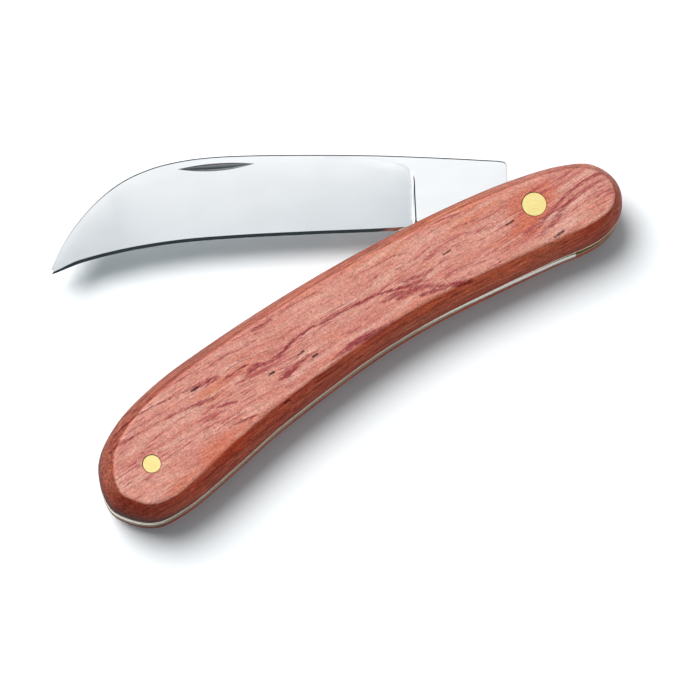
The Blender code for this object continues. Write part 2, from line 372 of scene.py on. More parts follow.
# Where the line from which the face thins drops below the spine, and how far
SPINE_DROP_FROM, SPINE_DROP_OVER, SPINE_DROP = -33.0, 14.0, 2.3
# Border of the ground face, from beside the belly round to the spine
GRIND_BORDER = (
    (-19.65, 0.4), (-19.1, 5.0), (-18.55, 9.0), (-18.75, 10.6), (-19.8, 11.9), (-23.6, 13.75),
    (-28.0, 14.95), (-33.0, 16.08),
)
GRIND_WIDTH = 0.6
# Height at which the border turns from the plunge line to the line below the spine
PLUNGE_TOP = 9.0
PLUNGE_RIGHTMOST = -18.5
# Nail nick: its centre, tilt, half-length, and reach below and above the centre
NICK_CENTRE = Vector((-51.5, 16.95))
NICK_ANGLE = math.radians(-4.8)
NICK_REACH = 6.55
NICK_BELOW = 0.8
NICK_ABOVE = 0.55
# Share of the way up, and depth there
NICK_PROFILE = ((0.0, 0.0), (0.36, 0.36), (0.6, 0.27), (0.88, 0.21), (1.0, 0.0))
# Spacing of the blade's points along its rim and on its faces, and the box that the faces' points fill
RIM_STEP = 0.4
FACE_STEP = 0.6
FACE_START = (-82.5, -6.5)
FACE_SPAN = (90.0, 27.0)

spine_curve = open_curve(vectors(SPINE), 30)
edge_curve = open_curve(vectors(EDGE), 30)
border_curve = open_curve(vectors(GRIND_BORDER), 12)
# The plunge line with x and y swapped, so that at_x can look it up by its y
plunge_by_y = [point.yx for point in border_curve if point.y <= PLUNGE_TOP]
border_top = [point for point in border_curve if point.y >= PLUNGE_TOP]


def blade_loop():
    flat_half = math.sqrt(TANG_RADIUS**2 - TANG_FLAT**2)
    turn = math.atan2(TANG_FLAT, flat_half)
    tang = arc(Vector((0.0, 0.0)), TANG_RADIUS, -turn, turn, 40)
    corner = open_curve([*vectors(SHOULDER[1:]), Vector(SPINE[0])], 5)
    belly = open_curve(vectors(BELLY), 16)
    return [*tang, Vector(SHOULDER[0]), *corner, *spine_curve[1:], *edge_curve[1:], *belly[1:]]


def spaced(loop, gap):
    """Points no further apart than gap along a closed loop, its own points kept."""
    points = []
    for a, b in zip(loop, [*loop[1:], loop[0]]):
        steps = max(1, math.ceil((b - a).length / gap))
        points.extend(a.lerp(b, k / steps) for k in range(steps))
    return points


def edge_share(x):
    """The bevel along the cutting edge gets narrower towards the tip."""
    return 0.55 + 0.45 * smoothstep((x - SPINE[-1][0]) / 5.0)


def distance_to(curve, point):
    """Distance from the nearby stretch of a curve; very large where there is none."""
    best = 1e9
    for a, b in zip(curve, curve[1:]):
        if abs(a.x - point.x) > 6.0:
            continue
        on_line, share = intersect_point_line(point.to_3d(), a.to_3d(), b.to_3d())
        nearest = a.lerp(b, min(max(share, 0.0), 1.0))
        best = min(best, (nearest - point).length)
    return best


def ground_in(point):
    """How far the point lies inside the ground face's border; 0 outside it."""
    if point.x > PLUNGE_RIGHTMOST:
        return 0.0
    if point.x > GRIND_BORDER[-1][0] and point.y > at_x(border_top, point.x):
        return 0.0
    if point.y < PLUNGE_TOP and point.x > at_x(plunge_by_y, point.y):
        return 0.0
    return distance_to(border_curve, point)


def nick_depth(point):
    """Depth of the nail nick: a slope, a flatter floor towards the spine, then a wall."""
    away = point - NICK_CENTRE
    along = away.x * math.cos(NICK_ANGLE) + away.y * math.sin(NICK_ANGLE)
    across = away.y * math.cos(NICK_ANGLE) - away.x * math.sin(NICK_ANGLE)
    belly = 1.0 - (along / NICK_REACH) ** 2
    if belly <= 0.0:
        return 0.0
    share = (across / belly + NICK_BELOW) / (NICK_BELOW + NICK_ABOVE)
    if not 0.0 < share < 1.0:
        return 0.0
    for (start, deep), (end, shallow) in zip(NICK_PROFILE, NICK_PROFILE[1:]):
        if share <= end:
            return belly * (deep + (shallow - deep) * (share - start) / (end - start))
    return 0.0


def half_thickness(point):
    """Half the blade's thickness away from its rim and its nail nick."""
    cut_in = min(ground_in(point) / GRIND_WIDTH, 1.0)
    near = distance_to(edge_curve, point)
    if cut_in == 0.0 and near > 2.0 * EDGE_BEVEL:
        return BLADE_HALF
    bevel, bevel_half = (v * edge_share(point.x) for v in (EDGE_BEVEL, EDGE_HALF))
    drop = SPINE_DROP * smoothstep((point.x - SPINE_DROP_FROM) / SPINE_DROP_OVER)
    top = at_x(spine_curve, point.x) - drop
    width = max(top - at_x(edge_curve, point.x) - bevel, 0.2)
    spine_half = min(SPINE_HALF_MOST, bevel_half + SPINE_TAPER * width)
    down = min(max((top - point.y) / width, 0.0), 1.0)
    ground = spine_half + (bevel_half - spine_half) * down**1.25
    settled = 1.0 - (1.0 - cut_in) ** 2
    half = BLADE_HALF + (ground - BLADE_HALF) * settled
    if point.x > BELLY_START:
        return half
    return min(half, SHARP_HALF + (bevel_half - SHARP_HALF) * near / bevel)


def inside_loop(loop, point):
    """True if the point is inside the loop."""
    inside = False
    for a, b in zip(loop, [*loop[1:], loop[0]]):
        if (a.y > point.y) != (b.y > point.y):
            if point.x < a.x + (b.x - a.x) * (point.y - a.y) / (b.y - a.y):
                inside = not inside
    return inside


def nick_lines():
    """Rims and deepest line of the nail nick."""
    lines = []
    for share, _ in NICK_PROFILE:
        height = share * (NICK_BELOW + NICK_ABOVE) - NICK_BELOW
        line = []
        for k in range(61):
            along = NICK_REACH * (k / 30 - 1.0)
            across = height * (1.0 - (along / NICK_REACH) ** 2)
            turn = Matrix.Rotation(NICK_ANGLE, 2)
            line.append(NICK_CENTRE + turn @ Vector((along, across)))
        lines.append(line)
    return lines


def border_lines():
    """The ground face's border and the lines that shape its hollow edge."""
    before, beyond = border_curve[0] * 2 - border_curve[1], Vector((-34.0, 16.3))
    extended = [before, *border_curve, beyond]
    lines = []
    for share in (0.0, 0.12, 0.28, 0.5, 0.75, 1.0):
        line = inset(extended, [GRIND_WIDTH * share] * len(extended))[1:-1]
        line = [p for p in line if p.y > at_x(edge_curve, p.x) + 0.8]
        lines.append([p for p in line if at_x(spine_curve, p.x) - p.y > 0.4])
    return lines


def bevel_line():
    """Inner border of the bevel along the cutting edge."""
    line = inset(edge_curve, [EDGE_BEVEL * edge_share(p.x) for p in edge_curve])[2:-2]
    return [p for p in line if -81.6 < p.x < -17.6]


def blade_points(loop, bore):
    """Points and fixed edges that the blade's two faces are built on."""
    points, edges = [], []

    def add_line(line, closed=False):
        first = len(points)
        points.extend(line)
        edges.extend((first + k, first + k + 1) for k in range(len(line) - 1))
        if closed:
            edges.append((first + len(line) - 1, first))

    add_line(loop, closed=True)
    add_line(bore, closed=True)
    for line in (*nick_lines(), *border_lines(), bevel_line()):
        add_line(line)
    rim = inset(loop, [CHAMFER_WIDTH] * len(loop))
    points.extend(p for p in rim if p.x > BELLY_START or p.y > at_x(edge_curve, p.x) + 0.8)
    taken = kdtree.KDTree(len(points))
    for i, point in enumerate(points):
        taken.insert(point.to_3d(), i)
    taken.balance()
    columns, rows = (int(span / FACE_STEP) for span in FACE_SPAN)
    for row in range(rows):
        for column in range(columns):
            p = Vector((column + 0.5 * (row % 2), row * 0.87)) * FACE_STEP + Vector(FACE_START)
            if taken.find(p.to_3d())[2] > FACE_STEP / 2 and inside_loop(loop, p):
                if p.length > PIVOT_RADIUS + CLEARANCE:
                    points.append(p)
    return points, edges


def blade_triangles():
    """Points of the blade's faces, their triangles, and the edges round the rim and the bore."""
    loop = spaced(blade_loop(), RIM_STEP)
    bore = circle(Vector((0.0, 0.0)), PIVOT_RADIUS + CLEARANCE, 64)
    points, edges = blade_points(loop, bore)
    verts, _, triangles, *_ = delaunay_2d_cdt(points, edges, [], 0, 1e-5)
    kept = []
    for triangle in triangles:
        middle = sum((verts[i] for i in triangle), Vector((0.0, 0.0))) / 3
        if inside_loop(loop, middle) and middle.length > PIVOT_RADIUS + CLEARANCE:
            kept.append(triangle)
    sides = {}
    for triangle in kept:
        for i in range(3):
            side = (triangle[i], triangle[(i + 1) % 3])
            sides[frozenset(side)] = None if frozenset(side) in sides else side
    return verts, kept, [side for side in sides.values() if side]


def make_blade():
    """Two faces over the same triangles, joined by a wall round the rim and the bore."""
    points, triangles, rim_edges = blade_triangles()
    used = {i for triangle in triangles for i in triangle}
    rim = {i for edge in rim_edges for i in edge}
    bm = bmesh.new()
    front, rear = {}, {}
    for i in used:
        point = points[i]
        half = half_thickness(point)
        if i in rim and distance_to(edge_curve, point) > 0.05:
            half = max(half - CHAMFER_DEPTH, SHARP_HALF)
        front[i] = bm.verts.new((point.x, point.y, half - nick_depth(point)))
        rear[i] = bm.verts.new((point.x, point.y, -half))
    for triangle in triangles:
        bm.faces.new([front[i] for i in triangle]).smooth = True
        bm.faces.new([rear[i] for i in reversed(triangle)]).smooth = True
    for i, j in rim_edges:
        bm.faces.new((front[i], rear[i], rear[j], front[j])).smooth = True
    blade = mesh_piece("blade_steel", bm, 14.0)
    middle = Vector((PIVOT.x, PIVOT.y, BLADE_MIDDLE)) * MM
    blade.data.transform(Matrix.Translation(middle) @ Matrix.Rotation(-OPENED_BY, 4, "Z"))
    return blade


# ---------------------------------------------------------------- materials


class Paint:
    """A material being wired up. Each call adds a node and returns its output."""

    def __init__(self, name):
        self.material = bpy.data.materials.new(name)
        self.material.use_nodes = True
        self.tree = self.material.node_tree
        self.shader = self.tree.nodes["Principled BSDF"]
        coordinates = self.tree.nodes.new("ShaderNodeTexCoord").outputs["Object"]
        self.mm = self.node("VectorMath", coordinates, Scale=1.0 / MM, operation="SCALE")

    def node(self, kind, *values, out=0, **named):
        node = self.tree.nodes.new(f"ShaderNode{kind}")
        for key, value in named.items():
            if hasattr(node, key):
                setattr(node, key, value)
        for socket, value in zip(node.inputs, values):
            self.feed(socket, value)
        for key, value in named.items():
            if not hasattr(node, key):
                self.feed(node.inputs[key.replace("_", " ")], value)
        return node.outputs[out]

    def feed(self, socket, value):
        if isinstance(value, bpy.types.NodeSocket):
            self.tree.links.new(value, socket)
        else:
            socket.default_value = value

    def math(self, operation, *values, clamp=False):
        return self.node("Math", *values, operation=operation, use_clamp=clamp)

    def stretched(self, vector, x, y, z, shift=0.0):
        moved = self.node("VectorMath", vector, (shift, shift, shift), operation="ADD")
        return self.node("VectorMath", moved, (x, y, z), operation="MULTIPLY")

    def noise(self, vector, detail=2.0, roughness=0.5, distortion=0.0):
        return self.node(
            "TexNoise", Vector=vector, Scale=1.0, Detail=detail, Roughness=roughness, Distortion=distortion
        )

    def between(self, value, low, high, to_low=0.0, to_high=1.0, smooth=True):
        kind = "SMOOTHSTEP" if smooth else "LINEAR"
        return self.node("MapRange", value, low, high, to_low, to_high, interpolation_type=kind)

    def mix(self, factor, a, b, blend="MIX"):
        node = self.tree.nodes.new("ShaderNodeMix")
        node.data_type = "RGBA"
        node.blend_type = blend
        for index, value in ((0, factor), (6, a), (7, b)):
            self.feed(node.inputs[index], value)
        return node.outputs[2]

    def set(self, **values):
        for key, value in values.items():
            self.feed(self.shader.inputs[key.replace("_", " ")], value)

    def bump(self, height, distance_mm, strength=1.0):
        normal = self.node("Bump", Strength=strength, Distance=distance_mm * MM, Height=height)
        self.set(Normal=normal)


def rgb(red, green, blue):
    return (red, green, blue, 1.0)


# Dark veins of the front scale: (x, y, half-width, strength) along each one
FRONT_VEINS = (
    ((-18.0, 3.4, 0.3, 0.3), (-15.0, 3.7, 0.5, 0.9), (-13.5, 3.05, 0.3, 0.8), (-11.0, 3.1, 0.35, 0.9),
     (-8.0, 3.75, 0.3, 0.9), (-5.0, 3.95, 0.2, 0.9), (-2.0, 3.5, 0.18, 0.8), (2.0, 3.15, 0.2, 0.8),
     (5.0, 2.8, 0.25, 0.9), (8.0, 2.3, 0.2, 0.9), (11.0, 1.4, 0.25, 0.9), (14.0, 0.3, 0.4, 0.8),
     (17.0, -0.2, 0.5, 0.3)),
    ((-14.0, -0.5, 0.15, 0.3), (-11.5, -0.35, 0.4, 0.9), (-9.0, 0.05, 0.3, 0.8), (-6.0, 0.5, 0.15, 0.4)),
    ((-5.0, -2.8, 0.15, 0.4), (-2.0, -2.4, 0.3, 0.8), (1.0, -2.35, 0.45, 1.0), (4.0, -2.7, 0.4, 0.8),
     (8.0, -3.0, 0.3, 0.5)),
    ((-42.0, 7.5, 0.2, 0.6), (-38.0, 8.1, 0.15, 1.0), (-34.0, 7.95, 0.12, 0.9), (-31.0, 7.5, 0.12, 0.8),
     (-27.0, 6.9, 0.2, 0.6), (-24.0, 6.2, 0.4, 0.8), (-21.0, 5.8, 0.3, 0.3)),
    ((-43.5, 5.9, 0.25, 0.6), (-40.0, 5.6, 0.25, 0.7), (-36.0, 5.3, 0.15, 0.5), (-32.0, 4.9, 0.2, 0.7),
     (-28.0, 4.2, 0.3, 0.7), (-24.0, 3.3, 0.35, 0.5), (-21.0, 2.9, 0.2, 0.2)),
    ((-39.0, 6.8, 0.25, 0.7), (-36.5, 6.4, 0.15, 0.5), (-31.0, 6.1, 0.1, 0.3)),
    ((-21.5, 5.0, 0.1, 0.4), (-19.0, 4.9, 0.15, 0.9), (-16.0, 4.85, 0.12, 0.5)),
    ((10.0, -0.4, 0.3, 0.3), (13.5, -0.5, 0.5, 0.8), (16.0, -1.4, 0.5, 0.7), (18.5, -3.0, 0.45, 0.7),
     (21.0, -4.1, 0.4, 0.9), (23.0, -4.7, 0.3, 0.5)),
    ((7.5, 0.9, 0.2, 0.3), (11.0, 0.3, 0.35, 0.7), (14.5, -1.1, 0.3, 0.5)),
    ((12.0, 2.0, 0.2, 0.4), (15.0, 1.1, 0.35, 0.7), (18.5, 0.4, 0.25, 0.4)),
    ((13.5, -2.0, 0.15, 0.4), (16.0, -2.5, 0.3, 0.8), (18.5, -3.6, 0.2, 0.4)),
    ((33.0, -4.2, 0.4, 0.3), (37.0, -3.5, 0.5, 0.5), (40.0, -2.8, 0.4, 0.6), (43.5, -2.0, 0.3, 0.7),
     (47.0, -1.5, 0.25, 0.8), (52.0, -2.1, 0.25, 0.7)),
    ((36.0, -5.0, 0.5, 0.4), (40.0, -4.3, 0.5, 0.6), (44.0, -3.0, 0.3, 0.7), (47.0, -2.7, 0.2, 0.6),
     (51.5, -3.3, 0.2, 0.7)),
    ((5.5, 7.4, 0.1, 0.3), (9.5, 6.7, 0.12, 0.6), (13.5, 6.3, 0.12, 0.5), (17.0, 5.0, 0.15, 0.6)),
    ((-25.0, 1.7, 0.12, 0.6), (-23.3, 1.3, 0.25, 0.9), (-21.0, 0.3, 0.15, 0.4)),
    ((-24.5, -2.2, 0.15, 0.4), (-22.5, -2.6, 0.2, 0.8), (-19.5, -3.2, 0.15, 0.4)),
    ((-13.0, 9.15, 0.15, 0.3), (-11.5, 8.95, 0.3, 0.7), (-8.0, 8.9, 0.12, 0.2)),
)
REAR_VEINS = (
    ((-40.0, 3.0, 0.2, 0.4), (-28.0, 4.6, 0.3, 0.8), (-14.0, 5.4, 0.35, 0.9), (2.0, 4.2, 0.25, 0.8),
     (16.0, 3.4, 0.3, 0.6)),
    ((-20.0, -1.2, 0.3, 0.5), (-8.0, 0.2, 0.35, 0.9), (8.0, 0.4, 0.3, 0.8), (24.0, -1.4, 0.35, 0.5)),
    ((12.0, 6.6, 0.2, 0.5), (24.0, 4.6, 0.3, 0.8), (40.0, 2.8, 0.25, 0.7), (49.0, 0.2, 0.2, 0.4)),
    ((-44.0, -3.0, 0.2, 0.4), (-34.0, -3.6, 0.35, 0.8), (-22.0, -3.3, 0.3, 0.5)),
)

# Long open pores of the front face: centre, half-length and half-width
FRONT_DASHES = (
    (39.4, -6.6, 1.3, 0.2), (33.7, -0.3, 1.0, 0.15), (-14.0, 1.2, 0.8, 0.2), (-8.0, 1.3, 0.8, 0.2),
    (-6.3, -0.35, 0.7, 0.2), (-14.5, -4.0, 0.8, 0.2), (22.0, 1.6, 1.0, 0.18), (-26.0, 6.3, 0.9, 0.2),
)
# Orange-red stains: centre and reach along and across
FRONT_STAINS = ((39.0, 0.2, 6.0, 3.4), (36.0, -2.5, 4.0, 2.4), (-27.5, -4.6, 6.0, 2.6))

SPAN_X = (-50.0, 56.0)
SPAN_Y = (-12.0, 14.0)


def along_x(paint, share_x, points, column, low, high):
    """A quantity that changes along X, through the points' given column."""
    node = paint.tree.nodes.new("ShaderNodeFloatCurve")
    curve = node.mapping.curves[0]
    shares = [(p[0] - SPAN_X[0]) / (SPAN_X[1] - SPAN_X[0]) for p in points]
    heights = [(p[column] - low) / (high - low) for p in points]
    curve.points[0].location = (shares[0], heights[0])
    curve.points[1].location = (shares[-1], heights[-1])
    for share, height in zip(shares[1:-1], heights[1:-1]):
        curve.points.new(share, height)
    node.mapping.extend = "HORIZONTAL"
    node.mapping.update()
    paint.feed(node.inputs["Value"], share_x)
    return paint.between(node.outputs[0], 0.0, 1.0, low, high, smooth=False)


def vein_mask(paint, x, y, veins):
    """1 on a dark vein, 0 away from all of them."""
    share_x = paint.between(x, *SPAN_X, smooth=False)
    total = 0.0
    for vein in veins:
        middle = along_x(paint, share_x, vein, 1, *SPAN_Y)
        width = along_x(paint, share_x, vein, 2, 0.0, 1.0)
        strength = along_x(paint, share_x, vein, 3, 0.0, 1.0)
        away = paint.math("ABSOLUTE", paint.math("SUBTRACT", y, middle))
        nearness = paint.math("DIVIDE", away, paint.math("MULTIPLY", width, 1.9))
        body = paint.between(nearness, 0.15, 1.0, 1.0, 0.0)
        ends = paint.math(
            "MULTIPLY",
            paint.between(x, vein[0][0] - 0.8, vein[0][0] + 0.8),
            paint.between(x, vein[-1][0] - 0.8, vein[-1][0] + 0.8, 1.0, 0.0),
        )
        mask = paint.math("MULTIPLY", paint.math("MULTIPLY", body, strength), ends)
        total = paint.math("MAXIMUM", total, mask)
    return total


def dash_mask(paint, x, y, depth, dash):
    """1 on a long open pore of the face."""
    middle_x, middle_y, half_length, half_width = dash
    along = paint.math("ABSOLUTE", paint.math("SUBTRACT", x, middle_x))
    across = paint.math("ABSOLUTE", paint.math("SUBTRACT", y, middle_y))
    mask = paint.math(
        "MULTIPLY",
        paint.between(along, 0.7 * half_length, half_length, 1.0, 0.0),
        paint.between(across, 0.55 * half_width, 0.95 * half_width, 1.0, 0.0),
    )
    return paint.math("MULTIPLY", mask, paint.between(depth, 0.5, 1.5, 1.0, 0.0))


def grain_noise(paint, grain, along, across, seed, **settings):
    """Noise drawn out along the grain, with a pattern of its own for each seed."""
    return paint.noise(paint.stretched(grain, along, across, across, seed), **settings)


def wood_ground(paint, grain, seed, stains, face_z):
    """Salmon ground with redder bands, pale patches and orange-red stains."""
    bands = grain_noise(paint, grain, 0.03, 0.42, seed, detail=3.0, roughness=0.6)
    colour = paint.mix(paint.between(bands, 0.35, 0.65), rgb(0.56, 0.26, 0.20), rgb(0.51, 0.19, 0.145))
    blush = grain_noise(paint, grain, 0.07, 0.2, seed + 31.0)
    colour = paint.mix(paint.between(blush, 0.5, 0.72, 0.0, 0.8), colour, rgb(0.53, 0.175, 0.10))
    pale = grain_noise(paint, grain, 0.08, 0.9, seed + 50.0, detail=4.0, roughness=0.6)
    colour = paint.mix(paint.between(pale, 0.50, 0.68, 0.0, 0.7), colour, rgb(0.62, 0.355, 0.285))
    for x, y, along, across in stains:
        reach = paint.node("VectorMath", paint.mm, (-x, -y, -face_z), operation="ADD")
        reach = paint.node("VectorMath", reach, (1 / along, 1 / across, 0.2), operation="MULTIPLY")
        away = paint.node("VectorMath", reach, out=1, operation="LENGTH")
        away = paint.math("ADD", away, paint.between(pale, 0.3, 0.7, -0.3, 0.3, smooth=False))
        colour = paint.mix(paint.between(away, 0.4, 1.1, 0.75, 0.0), colour, rgb(0.50, 0.125, 0.065))
    return colour


def streak_mask(paint, grain, seed, streaks):
    """1 on a long red streak; the streaks stand in loose groups."""
    groups = grain_noise(paint, grain, 0.04, 0.3, seed + 29.0)
    strength = paint.between(groups, 0.36, 0.6, 0.35, 1.0)
    return paint.math("MULTIPLY", paint.between(streaks, 0.51, 0.62), strength)


def torn_vein_mask(paint, x, vein_y, depth, fine, veins):
    """The dark veins with torn rims, fading down the scale's side."""
    vein = vein_mask(paint, x, vein_y, veins)
    torn = paint.math("ADD", vein, paint.between(fine, 0.3, 0.7, -0.45, 0.45, smooth=False))
    vein = paint.math("MULTIPLY", paint.between(torn, 0.05, 1.05), paint.between(vein, 0.02, 0.3))
    return paint.math("MULTIPLY", vein, paint.between(depth, 1.5, 4.5, 1.0, 0.25))


def pore_mask(paint, grain, seed, x, vein_y, depth, dashes):
    """1 on a short open pore, which stand in clusters, and on the long ones of the face."""
    pores = grain_noise(paint, grain, 0.9, 6.5, seed + 19.0)
    clusters = grain_noise(paint, grain, 0.12, 0.5, seed + 23.0, detail=1.0)
    pore = paint.math("MULTIPLY", paint.between(pores, 0.64, 0.71), paint.between(clusters, 0.42, 0.56))
    for dash in dashes:
        pore = paint.math("MAXIMUM", pore, dash_mask(paint, x, vein_y, depth, dash))
    return pore


def side_light_and_shade_tint(paint, x, y):
    """Tint of a scale's side that paints light and shade, by the place along it: deep below the handle's
    middle, paler above, and dark at the butt end.
    """
    middle = paint.math("MULTIPLY", paint.math("POWER", paint.math("ADD", x, 5.0), 2.0), -0.0028)
    above = paint.math("SUBTRACT", y, paint.math("ADD", middle, 3.4))
    low = paint.mix(paint.between(x, -47.0, -36.0), rgb(0.36, 0.125, 0.07), rgb(0.88, 0.36, 0.215))
    low = paint.mix(paint.between(x, 0.0, 20.0), low, rgb(0.94, 0.47, 0.30))
    low = paint.mix(paint.between(x, 38.0, 46.0), low, rgb(0.80, 0.34, 0.22))
    high = paint.mix(paint.between(x, -40.0, 0.0), rgb(0.55, 0.345, 0.28), rgb(0.78, 0.61, 0.55))
    return paint.mix(paint.between(above, -2.0, 5.0), low, high)


def lined_and_shaded_side(paint, colour, grain, seed, x, y, depth, painted_shade_strength):
    """The wood's colour, with the side of the scale lined, tinted with painted light and shade, and darker
    towards the liner with painted shade.
    """
    side = paint.between(depth, 0.05, 0.42)
    lines = grain_noise(paint, grain, 0.1, 2.4, seed + 41.0, detail=4.0, roughness=0.7)
    cut = paint.between(lines, 0.36, 0.66, 1.36, 0.38, smooth=False)
    lined = paint.mix(1.0, colour, cut, "MULTIPLY")
    colour = paint.mix(paint.math("MULTIPLY", side, 0.8), colour, lined)
    colour = paint.mix(side, colour, paint.mix(1.0, colour, side_light_and_shade_tint(paint, x, y), "MULTIPLY"))
    # Painted shade: darker down the side towards the liner, much darker at the butt end
    deep = paint.between(depth, 2.6, 5.6, 0.0, painted_shade_strength)
    butt_end = paint.between(x, -43.0, -32.0)
    shade = paint.mix(butt_end, rgb(0.15, 0.09, 0.075), rgb(0.60, 0.42, 0.35))
    return paint.mix(deep, colour, paint.mix(1.0, colour, shade, "MULTIPLY"))


def wood(name, veins, dashes, stains, seed, face_z, painted_shade_strength):
    """Bubinga: salmon ground, long red streaks, dark veins and short open pores."""
    paint = Paint(name)
    x, y, z = (paint.node("SeparateXYZ", paint.mm, out=i) for i in range(3))
    depth = paint.math("ABSOLUTE", paint.math("SUBTRACT", z, face_z))
    wander = paint.noise(paint.stretched(paint.mm, 0.05, 0.05, 0.05, seed), detail=1.0)
    lift = paint.between(wander, 0.2, 0.8, -0.9, 0.9, smooth=False)
    flow_y = paint.math("ADD", y, paint.math("ADD", lift, paint.math("MULTIPLY", x, 0.05)))
    grain = paint.node("CombineXYZ", x, flow_y, z)
    ragged = grain_noise(paint, grain, 0.5, 3.0, seed + 3.0, detail=4.0, roughness=0.75)
    vein_y = paint.math("ADD", y, paint.between(ragged, 0.2, 0.8, -0.35, 0.35, smooth=False))
    streaks = grain_noise(paint, grain, 0.15, 1.9, seed + 7.0, detail=5.0, roughness=0.72, distortion=0.7)
    fine = grain_noise(paint, grain, 0.8, 4.5, seed + 11.0, detail=4.0, roughness=0.7)
    speckle = paint.noise(paint.stretched(paint.mm, 3.3, 3.3, 3.3), detail=4.0, roughness=0.85)

    colour = wood_ground(paint, grain, seed, stains, face_z)
    colour = paint.mix(streak_mask(paint, grain, seed, streaks), colour, rgb(0.34, 0.075, 0.070))
    vein = torn_vein_mask(paint, x, vein_y, depth, fine, veins)
    colour = paint.mix(vein, colour, rgb(0.235, 0.027, 0.033))
    colour = paint.mix(0.6, colour, paint.between(fine, 0.32, 0.68, 1.3, 0.65, smooth=False), "MULTIPLY")
    pore = pore_mask(paint, grain, seed, x, vein_y, depth, dashes)
    colour = paint.mix(paint.math("MULTIPLY", pore, 0.93), colour, rgb(0.022, 0.008, 0.008))
    colour = paint.mix(0.8, colour, paint.between(speckle, 0.38, 0.62, 0.62, 1.4, smooth=False), "MULTIPLY")
    # Painted light and shade on the scale's side, over its grain lines
    colour = lined_and_shaded_side(paint, colour, grain, seed, x, y, depth, painted_shade_strength)

    paint.set(Base_Color=colour, Specular_IOR_Level=paint.between(depth, 0.06, 0.25, 0.5, 0.05))
    paint.set(Roughness=paint.between(streaks, 0.3, 0.7, 0.42, 0.56))
    height = paint.math("ADD", paint.math("MULTIPLY", fine, 0.5), paint.math("MULTIPLY", pore, -1.5))
    height = paint.math("ADD", height, paint.math("MULTIPLY", speckle, 0.3))
    paint.bump(height, 0.03, 0.7)
    return paint.material


def brass(name, light_and_shade_tint, roughness):
    """Ground brass with fine crossing scratches, its colour multiplied by a tint of painted light and
    shade.
    """
    paint = Paint(name)
    turned = paint.node("VectorRotate", paint.mm, Angle=math.radians(38.0))
    scratches = paint.noise(paint.stretched(turned, 0.5, 14.0, 1.0), detail=3.0, roughness=0.6)
    tone = paint.noise(paint.stretched(paint.mm, 0.8, 0.8, 0.8), detail=2.0)
    colour = paint.mix(paint.between(tone, 0.3, 0.7), rgb(1.0, 0.85, 0.355), rgb(0.98, 0.80, 0.31))
    colour = paint.mix(paint.between(scratches, 0.5, 0.75, 0.0, 0.5), colour, rgb(1.0, 0.88, 0.55))
    # Painted light and shade: the tint makes a copy of the brass paler or darker
    colour = paint.mix(1.0, colour, light_and_shade_tint, "MULTIPLY")
    paint.set(Base_Color=colour, Metallic=1.0)
    paint.set(Roughness=paint.between(scratches, 0.3, 0.7, roughness - 0.06, roughness + 0.1))
    paint.bump(scratches, 0.01, 0.4)
    return paint.material


def plunge_reflection_mask(paint):
    """1 along the plunge line, where its dark reflection is painted into the steel's colour."""
    from_pivot = paint.node("VectorMath", paint.mm, (PIVOT.x, PIVOT.y, 0.0), operation="SUBTRACT")
    folded = paint.node("VectorRotate", from_pivot, Angle=OPENED_BY)
    x, y = (paint.node("SeparateXYZ", folded, out=i) for i in (0, 1))
    above = paint.math("MAXIMUM", paint.math("SUBTRACT", y, PLUNGE_TOP), 0.0)
    bend = paint.math("MULTIPLY", paint.math("POWER", above, 2.0), -0.16)
    line_x = paint.math("ADD", paint.math("MULTIPLY_ADD", y, 0.128, -19.82), bend)
    away = paint.math("ABSOLUTE", paint.math("SUBTRACT", x, line_x))
    line = paint.between(away, 0.05, 0.17, 1.0, 0.0)
    return paint.math("MULTIPLY", line, paint.between(y, PLUNGE_TOP, PLUNGE_TOP + 2.0, 1.0, 0.0))


def steel(name, colour, roughness, lines, turned=0.0, painted_shade_between=None):
    """Polished steel with the faint lines of its polishing, which run turned from X.

    A turned one is the blade's, with a painted dark reflection along its plunge line. One with a
    painted_shade_between is the spring's: painted shade turns it grey between those two places, and dark
    along the seams beside it.
    """
    paint = Paint(name)
    own = paint.node("VectorRotate", paint.mm, Angle=-turned)
    polish = paint.noise(paint.stretched(own, 0.06, lines, lines), detail=3.0, roughness=0.6)
    cloud = paint.noise(paint.stretched(own, 0.08, 0.16, 0.16), detail=2.0)
    tone = paint.mix(paint.between(cloud, 0.3, 0.7), colour, tuple(c * 0.95 for c in colour[:3]) + (1.0,))
    tone = paint.mix(paint.between(polish, 0.4, 0.75, 0.0, 0.3), tone, rgb(0.93, 0.94, 0.95))
    # Painted shade on the spring: grey along its middle stretch and dark along the seams at its faces
    if painted_shade_between:
        x, z = (paint.node("SeparateXYZ", paint.mm, out=i) for i in (0, 2))
        tone = paint.mix(paint.between(x, *painted_shade_between), tone, rgb(0.50, 0.49, 0.45))
        reach = paint.between(x, 2.0, 30.0, 0.42, 1.15)
        away = paint.math("ABSOLUTE", paint.math("SUBTRACT", z, BLADE_MIDDLE))
        seam = paint.between(paint.math("DIVIDE", away, reach), 0.75, 1.1)
        tone = paint.mix(seam, tone, rgb(0.16, 0.13, 0.10))
    # Painted reflection: a dark line along the blade's plunge line
    if turned:
        tone = paint.mix(plunge_reflection_mask(paint), tone, rgb(0.05, 0.053, 0.057))
    paint.set(Base_Color=tone, Metallic=1.0)
    paint.set(Roughness=paint.between(polish, 0.3, 0.7, roughness - 0.03, roughness + 0.05))
    paint.bump(polish, 0.004, 0.3)
    return paint.material


# ---------------------------------------------------------------- build


rear_low, rear_high = layer("rear_scale")
front_low, front_high = layer("front_scale")
both_pins = [(PIVOT, PIVOT_RADIUS), (BUTT, BUTT_RADIUS)]
all_pins = [*both_pins, (SPRING_PIN, SPRING_PIN_RADIUS)]

